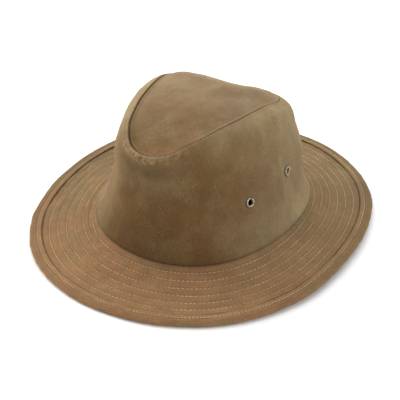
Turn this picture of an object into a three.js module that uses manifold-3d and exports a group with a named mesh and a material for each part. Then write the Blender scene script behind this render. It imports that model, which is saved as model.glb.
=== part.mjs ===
// Traveller hat: a sewn cloth hat with a teardrop crown, four eyelets and a quilted, bound brim.
// Millimetres, +Z up. The hat faces -Y, the wearer's left is +X, and the brim rests on z = 0.
import * as THREE from "three";
import { mergeVertices } from "three/addons/utils/BufferGeometryUtils.js";
import Module from "manifold-3d";

const wasm = await Module();
wasm.setup();

// ---------------------------------------------------------------- driving dimensions

const GAP = 0.3; // clearance kept between neighbouring pieces
const WALL = 1.8; // crown cloth
const SHOULDER_UP = 0.93; // share of the way up at which the wall turns in to the seam

// The foot of the crown, outside: a squarish oval for a head of about 58 cm.
const FOOT_HALF_WIDTH = 85;
const FOOT_HALF_LENGTH = 103;
const FOOT_BLUNTNESS = 3.7; // how far the two ends are flattened
const FOOT_HEIGHT = 12.4; // above the surface the brim rests on, at 45 degrees
const FOOT_SIDE_RISE = 2.5; // the foot is this much higher at the sides, lower at the ends

const BRIM_THICKNESS = 2; // two layers of cloth
const BRIM_HOLLOW = 1; // the brim falls faster near the crown, then flattens
const STRIP_WIDTH = 6.2; // seam allowance lying on the brim round the crown
const STRIP_HEIGHT = 0.6;
const STRIP_BEVEL = 0.8;

const BINDING_WIDTH = 10;
const BINDING_WALL = 1;
const BINDING_ROUNDING = 1; // of the fold along the brim's edge
const BINDING_SLOPE = 4; // width over which its top face dips towards the fold
const BINDING_REST_ARC = 26; // degrees each side of front and back that lie flat
const BINDING_SIDE_LIFT = 4.2; // the brim's sides stand off the surface

const LIP_HEIGHT = 1.4; // the wall's top edge stands this far proud of the tip
const LIP_ROUNDING = 0.5;
const TIP_THICKNESS = 1.8;
const TIP_CENTRE_Y = -5;
const TIP_FRONT_FLATNESS = 3.2; // a higher power keeps the dome flat until close to the seam
const TIP_BACK_FLATNESS = 7.5; // behind, the tip rolls down to the seam in a tight curve
const TIP_BACK_REACH = 50; // this far behind the middle the back's shape is reached
const TIP_SHOULDER_RISE = 5.5; // the back's two sides stand higher than its middle
const TIP_SHOULDER_OUT = 40; // at this distance from the middle line

const EYELET_FLANGE_RADIUS = 4.1;
const EYELET_BARREL_RADIUS = 2.4;
const EYELET_BORE_RADIUS = 2;
const EYELET_BACK_RADIUS = 3.3;
const EYELET_FLANGE_THICKNESS = 0.8;
const EYELET_BACK_THICKNESS = 0.5;
const EYELET_ROUNDING = 0.3;
const EYELET_DRILL_LENGTH = 10;

const STEPS_ROUND = 72; // facets round the head
const EYELET_STEPS = 16;
const SMALL_TURN = 0.002; // step along a curve over which its direction is measured

// Brim width square to the foot, without the roll of the binding; every 20 degrees from front to back.
const brimStations = [
  { angle: 0, width: 63.4 },
  { angle: 20, width: 62.6 },
  { angle: 40, width: 60.4 },
  { angle: 60, width: 58 },
  { angle: 80, width: 55 },
  { angle: 100, width: 54.8 },
  { angle: 120, width: 56.2 },
  { angle: 140, width: 58 },
  { angle: 160, width: 62 },
  { angle: 180, width: 63.4 },
];

// The tip seam, a teardrop with its narrow end in front; every 20 degrees from front to back. Its height
// differs a little between the wearer's left and right, as the crown was pressed by hand.
const seamStations = [
  { angle: 0, side: 0, along: -101.2, left: 108.2, right: 108.2 },
  { angle: 20, side: 16.1, along: -95.3, left: 109.7, right: 109.6 },
  { angle: 40, side: 29, along: -77.8, left: 114.2, right: 115.2 },
  { angle: 60, side: 38.8, along: -50.3, left: 115.2, right: 117.3 },
  { angle: 80, side: 46.7, along: -19.5, left: 113.9, right: 116.6 },
  { angle: 100, side: 50.1, along: 10.1, left: 110.1, right: 115.4 },
  { angle: 120, side: 51.4, along: 36.3, left: 103.9, right: 107 },
  { angle: 140, side: 43.3, along: 54.3, left: 98.8, right: 98.5 },
  { angle: 160, side: 24.3, along: 65.6, left: 94.7, right: 95.2 },
  { angle: 180, side: 0, along: 70.2, left: 90.2, right: 90.2 },
];

// How far the wall swells (+) or is pinched in (-) from the straight line between foot and seam, at a
// quarter, a half, three quarters of the way up and just under the seam; every 20 degrees, front to back.
const wallStations = [
  { angle: 0, low: -1, middle: -3, high: -2, shoulder: 1.5 },
  { angle: 20, low: -1, middle: -2.5, high: 0.5, shoulder: 2 },
  { angle: 40, low: -1, middle: -2, high: 3.5, shoulder: 3.6 },
  { angle: 60, low: -0.5, middle: 0, high: 5, shoulder: 4.2 },
  { angle: 80, low: 0, middle: 3, high: 7.6, shoulder: 6.6 },
  { angle: 100, low: 0.5, middle: 5, high: 8.6, shoulder: 8 },
  { angle: 120, low: 1.5, middle: 6.5, high: 6.4, shoulder: 6.2 },
  { angle: 140, low: 1.5, middle: 6.5, high: 2.8, shoulder: 3.6 },
  { angle: 160, low: 1.5, middle: 6.5, high: 6, shoulder: 4.5 },
  { angle: 180, low: 2, middle: 6, high: 6, shoulder: 5 },
];

// Height of the tip along the hat's middle line.
const tipStations = [
  { along: -100, height: 106 },
  { along: -80, height: 112 },
  { along: -55, height: 117 },
  { along: -30, height: 119.5 },
  { along: 0, height: 119.5 },
  { along: 20, height: 117.8 },
  { along: 36, height: 110.5 },
  { along: 52, height: 104.8 },
  { along: 70, height: 99.6 },
];

// Where the eyelets sit in the wall: turn from the front, to the wearer's left, and share of the way up.
// The right-hand pair was punched a little further back than the left-hand one.
const eyeletStations = [
  { name: "eyelet_left_front", angle: 65.2, up: 0.388 },
  { name: "eyelet_left_back", angle: 94.5, up: 0.445 },
  { name: "eyelet_right_front", angle: 283, up: 0.38 },
  { name: "eyelet_right_back", angle: 259.5, up: 0.445 },
];

// ---------------------------------------------------------------- curves

// A closed ring through rows given for one half of the hat; the other half is its mirror image.
function mirroredRing(rows, toPoint) {
  const half = rows.map((row) => toPoint(row, 1));
  const mirrored = rows.slice(1, -1).reverse().map((row) => toPoint(row, -1));
  return new THREE.CatmullRomCurve3([...half, ...mirrored], true);
}

// Smooth value of one column of a table whose rows step along another.
function readTable(rows, place, key, column) {
  const last = rows.length - 1;
  let index = rows.findIndex((row) => row[key] > place) - 1;
  if (index === -2) index = last - 1;
  index = Math.max(index, 0);
  const row = (i) => rows[THREE.MathUtils.clamp(i, 0, last)];
  const slope = (i) => (row(i + 1)[column] - row(i - 1)[column]) / (row(i + 1)[key] - row(i - 1)[key]);
  const span = row(index + 1)[key] - row(index)[key];
  const t = THREE.MathUtils.clamp((place - row(index)[key]) / span, 0, 1);
  return (
    row(index)[column] * (1 - 3 * t * t + 2 * t * t * t) +
    row(index + 1)[column] * (3 * t * t - 2 * t * t * t) +
    slope(index) * span * (t - 2 * t * t + t * t * t) +
    slope(index + 1) * span * (t * t * t - t * t)
  );
}

const seamRing = mirroredRing(
  seamStations,
  (row, side) => new THREE.Vector3(side * row.side, row.along, side > 0 ? row.left : row.right),
);
const widthRing = mirroredRing(brimStations, (row) => new THREE.Vector3(row.width, 0, 0));
const wallRing = mirroredRing(
  wallStations,
  (row) => new THREE.Vector3(row.low, row.middle, row.high),
);
const shoulderRing = mirroredRing(wallStations, (row) => new THREE.Vector3(row.shoulder, 0, 0));

// Foot of the crown at a turn of 0 to 1, on the brim's top face.
function footPoint(turn) {
  const angle = turn * 2 * Math.PI;
  return new THREE.Vector3(
    FOOT_HALF_WIDTH * Math.sin(angle),
    -(FOOT_HALF_LENGTH * Math.cos(angle) - FOOT_BLUNTNESS * Math.cos(3 * angle)),
    FOOT_HEIGHT - FOOT_SIDE_RISE * Math.cos(2 * angle),
  );
}

// Level direction to the outer side of a curve that runs anticlockwise seen from above.
function outwardOf(after, before) {
  return new THREE.Vector3(after.y - before.y, before.x - after.x, 0).normalize();
}

// Level direction pointing out of the foot's oval.
function footOutward(turn) {
  return outwardOf(footPoint(turn + SMALL_TURN), footPoint(turn - SMALL_TURN));
}

// Height of the middle of the binding: flat on the surface in front and behind, lifted at the sides.
function edgeHeight(turn) {
  const fromEnds = Math.abs(((turn * 360 + 90) % 180) - 90);
  const lift = THREE.MathUtils.smoothstep(fromEnds, BINDING_REST_ARC, 90);
  return BRIM_THICKNESS / 2 + GAP + BINDING_WALL + BINDING_SIDE_LIFT * lift;
}

function brimWidth(turn) {
  return widthRing.getPoint(turn).x;
}

// Middle of the brim at a distance out from the foot.
function brimPoint(turn, distance) {
  const share = THREE.MathUtils.clamp(distance / (brimWidth(turn) - BINDING_WIDTH), 0, 1);
  const fall = share + BRIM_HOLLOW * share * (1 - share);
  const foot = footPoint(turn);
  const height = THREE.MathUtils.lerp(foot.z - BRIM_THICKNESS / 2, edgeHeight(turn), fall);
  return foot.setZ(height).addScaledVector(footOutward(turn), distance);
}

// ---------------------------------------------------------------- closed meshes

function turnOf(step) {
  return step / STEPS_ROUND;
}

function ringOf(pointAt) {
  return Array.from({ length: STEPS_ROUND }, (_, step) => pointAt(turnOf(step)));
}

// Joins rings of points into one closed surface. The rings run anticlockwise round the piece's section,
// seen with outward to the right and up above. With `caps` the first and last ring are closed by a point
// in their middle; without, the last ring joins the first again.
function loft(rings, caps) {
  const points = rings.flat();
  const index = [];
  const pairs = caps ? rings.length - 1 : rings.length;
  for (let ring = 0; ring < pairs; ring += 1) {
    const here = ring * STEPS_ROUND;
    const there = ((ring + 1) % rings.length) * STEPS_ROUND;
    for (let step = 0; step < STEPS_ROUND; step += 1) {
      const next = (step + 1) % STEPS_ROUND;
      index.push(here + step, here + next, there + next);
      index.push(here + step, there + next, there + step);
    }
  }
  if (caps) {
    const lastRing = (rings.length - 1) * STEPS_ROUND;
    points.push(caps.first, caps.last);
    for (let step = 0; step < STEPS_ROUND; step += 1) {
      const next = (step + 1) % STEPS_ROUND;
      index.push(points.length - 2, next, step);
      index.push(points.length - 1, lastRing + step, lastRing + next);
    }
  }
  const geometry = new THREE.BufferGeometry();
  geometry.setAttribute("position", new THREE.Float32BufferAttribute(points.flatMap((p) => [...p]), 3));
  geometry.setIndex(index);
  return geometry;
}

function toSolid(geometry) {
  const bare = geometry.clone();
  bare.deleteAttribute("normal");
  bare.deleteAttribute("uv");
  const merged = mergeVertices(bare);
  return new wasm.Manifold(
    new wasm.Mesh({
      numProp: 3,
      vertProperties: new Float32Array(merged.attributes.position.array),
      triVerts: new Uint32Array(merged.index.array),
    }),
  );
}

function toGeometry(solid) {
  const mesh = solid.getMesh();
  const geometry = new THREE.BufferGeometry();
  geometry.setAttribute("position", new THREE.Float32BufferAttribute(mesh.vertProperties, 3));
  geometry.setIndex(new THREE.Uint32BufferAttribute(mesh.triVerts, 1));
  return geometry;
}

// ---------------------------------------------------------------- crown wall

// Outer face of the wall at a share of the way up, 0 at the foot and 1 at the seam.
function wallPoint(turn, up) {
  const foot = footPoint(turn);
  foot.z += STRIP_HEIGHT + GAP;
  const swell = wallRing.getPoint(turn);
  const rows = [
    { up: 0, swell: 0 },
    { up: 0.25, swell: swell.x },
    { up: 0.5, swell: swell.y },
    { up: 0.75, swell: swell.z },
    { up: SHOULDER_UP, swell: shoulderRing.getPoint(turn).x },
    { up: 1, swell: 0 },
  ];
  const amount = readTable(rows, up, "up", "swell");
  return foot.lerp(seamRing.getPoint(turn), up).addScaledVector(footOutward(turn), amount);
}

// Direction straight out of the cloth.
function wallNormal(turn, up) {
  const above = Math.min(up + SMALL_TURN, 1);
  const below = Math.max(up - SMALL_TURN, 0);
  const round = wallPoint(turn + SMALL_TURN, up).sub(wallPoint(turn - SMALL_TURN, up));
  const rise = wallPoint(turn, above).sub(wallPoint(turn, below));
  return round.cross(rise).normalize();
}

// A point by the tip seam: so far inward of it, level, and so far above.
function besideSeam(turn, inward, rise) {
  const after = seamRing.getPoint((turn + SMALL_TURN) % 1);
  const before = seamRing.getPoint((turn - SMALL_TURN + 1) % 1);
  const point = seamRing.getPoint(turn).addScaledVector(outwardOf(after, before), -inward);
  point.z += rise;
  return point;
}

function wallSolid() {
  const outerRows = [0, 0.08, 0.18, 0.3, 0.42, 0.54, 0.65, 0.75, 0.84, 0.91, 0.96];
  const innerRows = [0.93, 0.84, 0.72, 0.58, 0.44, 0.3, 0.15];
  const lip = [
    { inward: 0, rise: -LIP_ROUNDING },
    { inward: LIP_ROUNDING, rise: 0 },
    { inward: WALL - LIP_ROUNDING, rise: 0 },
    { inward: WALL, rise: -LIP_ROUNDING },
    { inward: WALL, rise: -LIP_HEIGHT - TIP_THICKNESS },
  ];
  const inside = (turn, up) => wallPoint(turn, up).addScaledVector(wallNormal(turn, up), -WALL);
  const footInside = (turn) => wallPoint(turn, 0).addScaledVector(footOutward(turn), -WALL);
  const rings = [
    ...outerRows.map((up) => ringOf((turn) => wallPoint(turn, up))),
    ...lip.map((row) => ringOf((turn) => besideSeam(turn, row.inward, row.rise))),
    ...innerRows.map((up) => ringOf((turn) => inside(turn, up))),
    ringOf(footInside),
  ];
  return toSolid(loft(rings));
}

// ---------------------------------------------------------------- eyelets

// Stands an object on the wall at a station: its Y axis points straight out of the cloth.
function placeOnWall(object, station) {
  const turn = station.angle / 360;
  object.position.copy(wallPoint(turn, station.up));
  object.quaternion.setFromUnitVectors(new THREE.Vector3(0, 1, 0), wallNormal(turn, station.up));
  object.updateMatrixWorld(true);
  return object;
}

function eyeletGeometry() {
  const face = GAP + EYELET_FLANGE_THICKNESS;
  const back = -WALL - GAP;
  const rim = back - EYELET_BACK_THICKNESS;
  const profile = [
    new THREE.Vector2(EYELET_BORE_RADIUS, rim),
    new THREE.Vector2(EYELET_BACK_RADIUS, rim),
    new THREE.Vector2(EYELET_BACK_RADIUS, back),
    new THREE.Vector2(EYELET_BARREL_RADIUS, back),
    new THREE.Vector2(EYELET_BARREL_RADIUS, GAP),
    new THREE.Vector2(EYELET_FLANGE_RADIUS, GAP),
    new THREE.Vector2(EYELET_FLANGE_RADIUS - EYELET_ROUNDING, face - EYELET_ROUNDING / 2),
    new THREE.Vector2((EYELET_FLANGE_RADIUS + EYELET_BORE_RADIUS) / 2, face),
    new THREE.Vector2(EYELET_BORE_RADIUS, face - EYELET_ROUNDING),
    new THREE.Vector2(EYELET_BORE_RADIUS, rim),
  ];
  return new THREE.LatheGeometry(profile, EYELET_STEPS);
}

function eyeletHole(station) {
  const radius = EYELET_BARREL_RADIUS + GAP;
  const drill = new THREE.CylinderGeometry(radius, radius, EYELET_DRILL_LENGTH, EYELET_STEPS);
  const holder = placeOnWall(new THREE.Object3D(), station);
  return toSolid(drill.applyMatrix4(holder.matrixWorld));
}

// ---------------------------------------------------------------- tip

function tipGeometry() {
  const inset = WALL + GAP;
  const edgeAt = (turn) => besideSeam(turn, inset, -LIP_HEIGHT);
  const surfacePoint = (turn, share, drop) => {
    const edge = edgeAt(turn);
    const point = new THREE.Vector3(0, TIP_CENTRE_Y, 0).lerp(edge, share);
    const back = THREE.MathUtils.smoothstep(point.y, 0, TIP_BACK_REACH);
    const flatness = THREE.MathUtils.lerp(TIP_FRONT_FLATNESS, TIP_BACK_FLATNESS, back);
    const shoulder = back * TIP_SHOULDER_RISE * (point.x / TIP_SHOULDER_OUT) ** 2;
    const dome = readTable(tipStations, point.y, "along", "height") + shoulder;
    const weight = Math.pow(share, flatness);
    return point.setZ(THREE.MathUtils.lerp(dome, edge.z, weight) - drop);
  };
  const shares = [0.25, 0.5, 0.7, 0.84, 0.94, 1];
  const middle = surfacePoint(0, 0, 0);
  const below = middle.clone().setZ(middle.z - TIP_THICKNESS);
  const rings = [
    ...shares.map((share) => ringOf((turn) => surfacePoint(turn, share, TIP_THICKNESS))),
    ...shares.reverse().map((share) => ringOf((turn) => surfacePoint(turn, share, 0))),
  ];
  return loft(rings, { first: below, last: middle });
}

// ---------------------------------------------------------------- brim

function brimGeometry() {
  const half = BRIM_THICKNESS / 2;
  const inner = -(WALL + GAP);
  const shares = [0.3, 0.45, 0.6, 0.75, 0.9, 1];
  const ringAt = (distanceOf, rise) =>
    ringOf((turn) => {
      const point = brimPoint(turn, distanceOf(brimWidth(turn)));
      point.z += rise;
      return point;
    });
  const field = (share, rise) => ringAt((width) => share * (width - BINDING_WIDTH), rise);
  const edge = (width) => width - BINDING_WALL - GAP;
  const rings = [
    ringAt(() => inner, -half),
    ringAt(() => STRIP_WIDTH, -half),
    ...shares.map((share) => field(share, -half)),
    ringAt(edge, -half),
    ringAt(edge, half),
    ...shares.reverse().map((share) => field(share, half)),
    ringAt(() => STRIP_WIDTH + STRIP_BEVEL, half),
    ringAt(() => STRIP_WIDTH, half + STRIP_HEIGHT),
    ringAt(() => inner, half + STRIP_HEIGHT),
  ];
  return loft(rings);
}

// ---------------------------------------------------------------- binding

// A strip folded round the brim's edge: its section is given by distance in from the edge and rise.
function bindingGeometry() {
  const inside = BRIM_THICKNESS / 2 + GAP;
  const outside = inside + BINDING_WALL;
  const section = [
    { back: BINDING_WIDTH, rise: -outside },
    { back: BINDING_ROUNDING, rise: -outside },
    { back: 0, rise: BINDING_ROUNDING - outside },
    { back: 0, rise: outside - 1.5 * BINDING_ROUNDING },
    { back: BINDING_ROUNDING, rise: outside - 0.5 * BINDING_ROUNDING },
    { back: BINDING_SLOPE, rise: outside },
    { back: BINDING_WIDTH, rise: outside },
    { back: BINDING_WIDTH, rise: inside },
    { back: BINDING_WALL, rise: inside },
    { back: BINDING_WALL, rise: -inside },
    { back: BINDING_WIDTH, rise: -inside },
  ];
  const rings = section.map(({ back, rise }) =>
    ringOf((turn) => brimPoint(turn, brimWidth(turn) - back).setZ(edgeHeight(turn) + rise)),
  );
  return loft(rings);
}

// ---------------------------------------------------------------- assembly

const cloth = (colour) =>
  new THREE.MeshStandardMaterial({ color: colour, roughness: 0.85, metalness: 0 });
const crownCloth = cloth(0x856b45);
const tipCloth = cloth(0x896f4b);
const brimCloth = cloth(0x866a45);
const bindingCloth = cloth(0x866a45);
const antiqueBrass = new THREE.MeshStandardMaterial({ color: 0xb6ab95, roughness: 0.35, metalness: 1 });

const hat = new THREE.Group();

function addPiece(name, geometry, material) {
  const mesh = new THREE.Mesh(geometry, material);
  mesh.name = name;
  hat.add(mesh);
  return mesh;
}

const pierced = eyeletStations.reduce(
  (wall, station) => wall.subtract(eyeletHole(station)),
  wallSolid(),
);
addPiece("crown_side", toGeometry(pierced), crownCloth);
addPiece("crown_tip", tipGeometry(), tipCloth);
addPiece("brim", brimGeometry(), brimCloth);
addPiece("brim_binding", bindingGeometry(), bindingCloth);

for (const station of eyeletStations) {
  placeOnWall(addPiece(station.name, eyeletGeometry(), antiqueBrass), station);
}

export default hat;
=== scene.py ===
"""Traveller hat: cloth shells, stitching, eyelets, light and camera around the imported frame.

Lengths are in millimetres until a mesh is made. The hat faces -Y, the wearer's left is +X, and the
hat rests at height zero. A turn runs from 0 at the front, round the wearer's left, to 1. An angle
is the same in degrees.
"""
import math

import bpy
import numpy as np
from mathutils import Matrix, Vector


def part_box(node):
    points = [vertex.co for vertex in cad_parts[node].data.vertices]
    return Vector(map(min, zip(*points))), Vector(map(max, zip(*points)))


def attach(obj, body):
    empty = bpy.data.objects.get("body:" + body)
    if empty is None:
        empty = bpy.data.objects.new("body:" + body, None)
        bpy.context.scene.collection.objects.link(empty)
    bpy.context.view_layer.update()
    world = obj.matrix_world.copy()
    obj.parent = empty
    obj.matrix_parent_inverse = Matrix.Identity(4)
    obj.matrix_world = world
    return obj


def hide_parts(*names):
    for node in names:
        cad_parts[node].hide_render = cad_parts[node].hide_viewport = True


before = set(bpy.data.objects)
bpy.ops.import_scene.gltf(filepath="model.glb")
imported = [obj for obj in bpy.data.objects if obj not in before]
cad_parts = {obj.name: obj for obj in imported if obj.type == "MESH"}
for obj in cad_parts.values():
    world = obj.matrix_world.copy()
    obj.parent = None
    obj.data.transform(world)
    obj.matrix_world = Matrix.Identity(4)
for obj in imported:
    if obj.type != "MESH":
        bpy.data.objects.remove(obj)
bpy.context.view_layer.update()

MM = 0.001

# ---------------------------------------------------------------- named sizes, as in the frame

GAP = 0.3  # between neighbouring solids
WALL = 1.8  # thickness of the crown's cloth
SHOULDER_UP = 0.93  # share of the wall's height at its shoulder
FOOT_HALF_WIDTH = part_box("crown_side")[1][0] / MM
FOOT_HALF_LENGTH = 103
FOOT_BLUNTNESS = 3.7  # blunts the front and the back of the foot's oval
FOOT_HEIGHT = 12.4
FOOT_SIDE_RISE = 2.5
BRIM_THICKNESS = 2
BRIM_HOLLOW = 1  # makes the brim fall faster near the foot
STRIP_HEIGHT = 0.6
BINDING_WIDTH = 10
BINDING_WALL = 1
BINDING_REST_ARC = 26  # degrees either side of the front and of the back that lie flat
BINDING_SIDE_LIFT = 4.2
LIP_HEIGHT = 1.4  # of the wall's edge over the tip's edge
TIP_THICKNESS = 1.8
TIP_CENTRE_Y = -5
TIP_FRONT_FLATNESS = 3.2
TIP_BACK_FLATNESS = 7.5
TIP_BACK_REACH = 50
TIP_SHOULDER_RISE = 5.5
TIP_SHOULDER_OUT = 40
EYELET_FLANGE_RADIUS = 4.1
EYELET_BARREL_RADIUS = 2.4
EYELET_BORE_RADIUS = 2.28
EYELET_THROAT_RADIUS = 2.5
EYELET_BACK_RADIUS = 3.3
SMALL_TURN = 0.002  # step for slopes round the hat
ROW_ANGLE = 20  # degrees between the rows of the tables that run from front to back

# Brim width square to the foot, from front to back.
BRIM_WIDTHS = (63.4, 62.6, 60.4, 58, 55, 54.8, 56.2, 58, 62, 63.4)

# The tip seam, a teardrop, from front to back: side, along, height on the wearer's left and right.
SEAM_STATIONS = (
    (0, -101.2, 108.2, 108.2),
    (16.1, -95.3, 109.7, 109.6),
    (29, -77.8, 114.2, 115.2),
    (38.8, -50.3, 115.2, 117.3),
    (46.7, -19.5, 113.9, 116.6),
    (50.1, 10.1, 110.1, 115.4),
    (51.4, 36.3, 103.9, 107),
    (43.3, 54.3, 98.8, 98.5),
    (24.3, 65.6, 94.7, 95.2),
    (0, 70.2, 90.2, 90.2),
)

# Swell of the wall at these shares of its height, from front to back. It has none at its foot and
# along the tip seam.
SWELL_UPS = (0.25, 0.5, 0.75, SHOULDER_UP)
WALL_SWELLS = (
    (-1, -3, -2, 1.5),
    (-1, -2.5, 0.5, 2),
    (-1, -2, 3.5, 3.6),
    (-0.5, 0, 5, 4.2),
    (0, 3, 7.6, 6.6),
    (0.5, 5, 8.6, 8),
    (1.5, 6.5, 6.4, 6.2),
    (1.5, 6.5, 2.8, 3.6),
    (1.5, 6.5, 6, 4.5),
    (2, 6, 6, 5),
)

# Height of the tip along the middle line.
TIP_ALONG = (-100, -80, -55, -30, 0, 20, 36, 52, 70)
TIP_HEIGHT = (106, 112, 117, 119.5, 119.5, 117.8, 110.5, 104.8, 99.6)

# Eyelets: node, angle, share of the way up the wall.
EYELETS = (
    ("eyelet_left_front", 65.2, 0.388),
    ("eyelet_left_back", 94.5, 0.445),
    ("eyelet_right_front", 283, 0.38),
    ("eyelet_right_back", 259.5, 0.445),
)

# ---------------------------------------------------------------- shapes shared with the frame


def unit(vectors):
    return vectors / np.linalg.norm(vectors, axis=-1, keepdims=True)


def hermite(start, end, start_slope, end_slope, t):
    return (
        start * (1 - 3 * t**2 + 2 * t**3)
        + end * (3 * t**2 - 2 * t**3)
        + start_slope * (t - 2 * t**2 + t**3)
        + end_slope * (t**3 - t**2)
    )


def ease(share):
    """A share held between zero and one, with a level start and end."""
    share = np.clip(share, 0, 1)
    return share**2 * (3 - 2 * share)


def closed_ring(points):
    """A smooth closed ring through points, as a centripetal Catmull-Rom curve."""
    points = np.array(points, float)

    def knot(a, b):
        return np.sum((b - a) ** 2, axis=-1, keepdims=True) ** 0.25

    def at(turn):
        place = np.mod(turn, 1.0) * len(points)
        index = np.floor(place).astype(int)
        p0, p1, p2, p3 = (points[(index + k) % len(points)] for k in (-1, 0, 1, 2))
        d0, d1, d2 = knot(p0, p1), knot(p1, p2), knot(p2, p3)
        slope1 = ((p1 - p0) / d0 - (p2 - p0) / (d0 + d1) + (p2 - p1) / d1) * d1
        slope2 = ((p2 - p1) / d1 - (p3 - p1) / (d1 + d2) + (p3 - p2) / d2) * d1
        return hermite(p1, p2, slope1, slope2, (place - index)[..., None])

    return at


def read_table(keys, values, place):
    """Smooth values at some places of columns whose rows step along keys."""
    keys = np.array(keys, float)
    values = np.array(values, float)
    order = np.arange(len(keys))
    after = np.minimum(order + 1, len(keys) - 1)
    before = np.maximum(order - 1, 0)
    column = (-1,) + (1,) * (values.ndim - 1)
    slope = (values[after] - values[before]) / (keys[after] - keys[before]).reshape(column)
    index = np.clip(np.searchsorted(keys, place, side="right") - 1, 0, len(keys) - 2)
    spread = np.shape(place) + (1,) * (values.ndim - 1)
    span = (keys[index + 1] - keys[index]).reshape(spread)
    t = np.clip((place - keys[index]).reshape(spread) / span, 0, 1)
    start_slope, end_slope = slope[index] * span, slope[index + 1] * span
    return hermite(values[index], values[index + 1], start_slope, end_slope, t)


def even_table(rows):
    """Smooth values round the hat from rows that run from front to back, the same on both sides."""
    rows = np.array(rows, float)
    angles = ROW_ANGLE * np.arange(-1, len(rows) + 1)
    mirrored = np.concatenate([rows[1:2], rows, rows[-2:-1]])

    def at(turn):
        from_front = np.abs(np.mod(turn * 360 + 180, 360) - 180)
        return read_table(angles, mirrored, from_front)

    return at


left_seam = [(side, along, left) for side, along, left, _ in SEAM_STATIONS]
right_seam = [(-side, along, right) for side, along, _, right in SEAM_STATIONS]
seam = closed_ring(left_seam + right_seam[-2:0:-1])
brim_width = even_table(BRIM_WIDTHS)
wall_swell = even_table(WALL_SWELLS)


def foot(turn):
    """Foot of the crown on the brim's top face."""
    angle = 2 * np.pi * turn
    side = FOOT_HALF_WIDTH * np.sin(angle)
    along = -(FOOT_HALF_LENGTH * np.cos(angle) - FOOT_BLUNTNESS * np.cos(3 * angle))
    return np.stack([side, along, FOOT_HEIGHT - FOOT_SIDE_RISE * np.cos(2 * angle)], axis=-1)


def outward(curve, turn):
    """Level direction out of a ring."""
    along = curve(turn + SMALL_TURN) - curve(turn - SMALL_TURN)
    return unit(np.stack([along[..., 1], -along[..., 0], 0 * along[..., 0]], axis=-1))


def edge_height(turn):
    """Height of the middle of the binding."""
    from_ends = np.abs(np.mod(turn * 360 + 90, 180) - 90)
    lift = ease((from_ends - BINDING_REST_ARC) / (90 - BINDING_REST_ARC))
    return BRIM_THICKNESS / 2 + GAP + BINDING_WALL + BINDING_SIDE_LIFT * lift


def brim_point(turn, distance, rise=0.0):
    """Middle of the brim at a distance out from the foot, raised by rise."""
    share = np.clip(distance / (brim_width(turn) - BINDING_WIDTH), 0, 1)
    fall = share + BRIM_HOLLOW * share * (1 - share)
    start = foot(turn)
    height = (start[..., 2] - BRIM_THICKNESS / 2) * (1 - fall) + edge_height(turn) * fall
    point = start + outward(foot, turn) * distance[..., None]
    point[..., 2] = height + rise
    return point


def wall_point(turn, up):
    """Outer face of the crown wall: a row for each up, a column for each turn."""
    base = foot(turn) + np.array([0, 0, STRIP_HEIGHT + GAP])
    none = np.zeros(len(turn))
    amount = read_table((0, *SWELL_UPS, 1), np.stack([none, *wall_swell(turn).T, none]), up)
    share = np.asarray(up)[:, None, None]
    return base * (1 - share) + seam(turn) * share + outward(foot, turn) * amount[..., None]


def beside_seam(turn, inward, rise):
    """A line inward of the tip seam and above it."""
    point = seam(turn) - outward(seam, turn) * np.asarray(inward)[..., None]
    point[..., 2] += rise
    return point


def tip_point(turn, share):
    """Top face of the tip: a row for each share of the way from its centre to its edge."""
    edge = beside_seam(turn, np.full(len(turn), WALL + GAP), -LIP_HEIGHT)
    centre = np.array([0, TIP_CENTRE_Y, 0])
    share = np.asarray(share)[:, None]
    point = centre * (1 - share[..., None]) + edge * share[..., None]
    back = ease(point[..., 1] / TIP_BACK_REACH)
    flatness = TIP_FRONT_FLATNESS + (TIP_BACK_FLATNESS - TIP_FRONT_FLATNESS) * back
    shoulder = back * TIP_SHOULDER_RISE * (point[..., 0] / TIP_SHOULDER_OUT) ** 2
    dome = read_table(TIP_ALONG, TIP_HEIGHT, point[..., 1]) + shoulder
    weight = share**flatness
    point[..., 2] = dome * (1 - weight) + edge[:, 2] * weight
    return point


# ---------------------------------------------------------------- tools for the cloth

STEPS_ROUND = 540
NOISE_WAVES = 14

turns = np.arange(STEPS_ROUND) / STEPS_ROUND
width = brim_width(turns)


def soft_noise(points, wavelength, seed):
    """Smooth unevenness of about plus or minus one: a sum of seeded waves through space."""
    random = np.random.default_rng(seed)
    total = np.zeros(points.shape[:-1])
    for _ in range(NOISE_WAVES):
        direction = random.normal(size=3)
        length = wavelength * random.uniform(0.7, 1.5)
        direction *= 2 * np.pi / np.linalg.norm(direction) / length
        total += np.sin(points @ direction + random.uniform(0, 2 * np.pi))
    return total / math.sqrt(NOISE_WAVES / 2)


def layered_noise(points, layers):
    """Unevenness in layers, each with its height, wavelength and seed."""
    return sum(height * soft_noise(points, length, seed) for height, length, seed in layers)


def bump(distance, half):
    """A smooth hump of height one and about that half width."""
    return np.exp(-((distance / half) ** 2))


def band(distance, middle, half, amount):
    """A smooth band of that amount around a middle distance."""
    return amount * bump(distance - middle, half)


def turn_distance(angle):
    """Degrees from each column of the grid to an angle round the hat."""
    return np.mod(turns * 360 - angle + 180, 360) - 180


def sector(angle, spread):
    """One at an angle round the hat, fading to zero over about that spread in degrees."""
    return bump(turn_distance(angle), spread)


def grid_normals(points):
    """Unit normals of a grid of rings, out of the side from which the rings run anticlockwise."""
    round_the_hat = np.roll(points, -1, axis=1) - np.roll(points, 1, axis=1)
    across = np.gradient(points, axis=0)
    return unit(np.cross(round_the_hat, across))


# ---------------------------------------------------------------- crown wall

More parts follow.
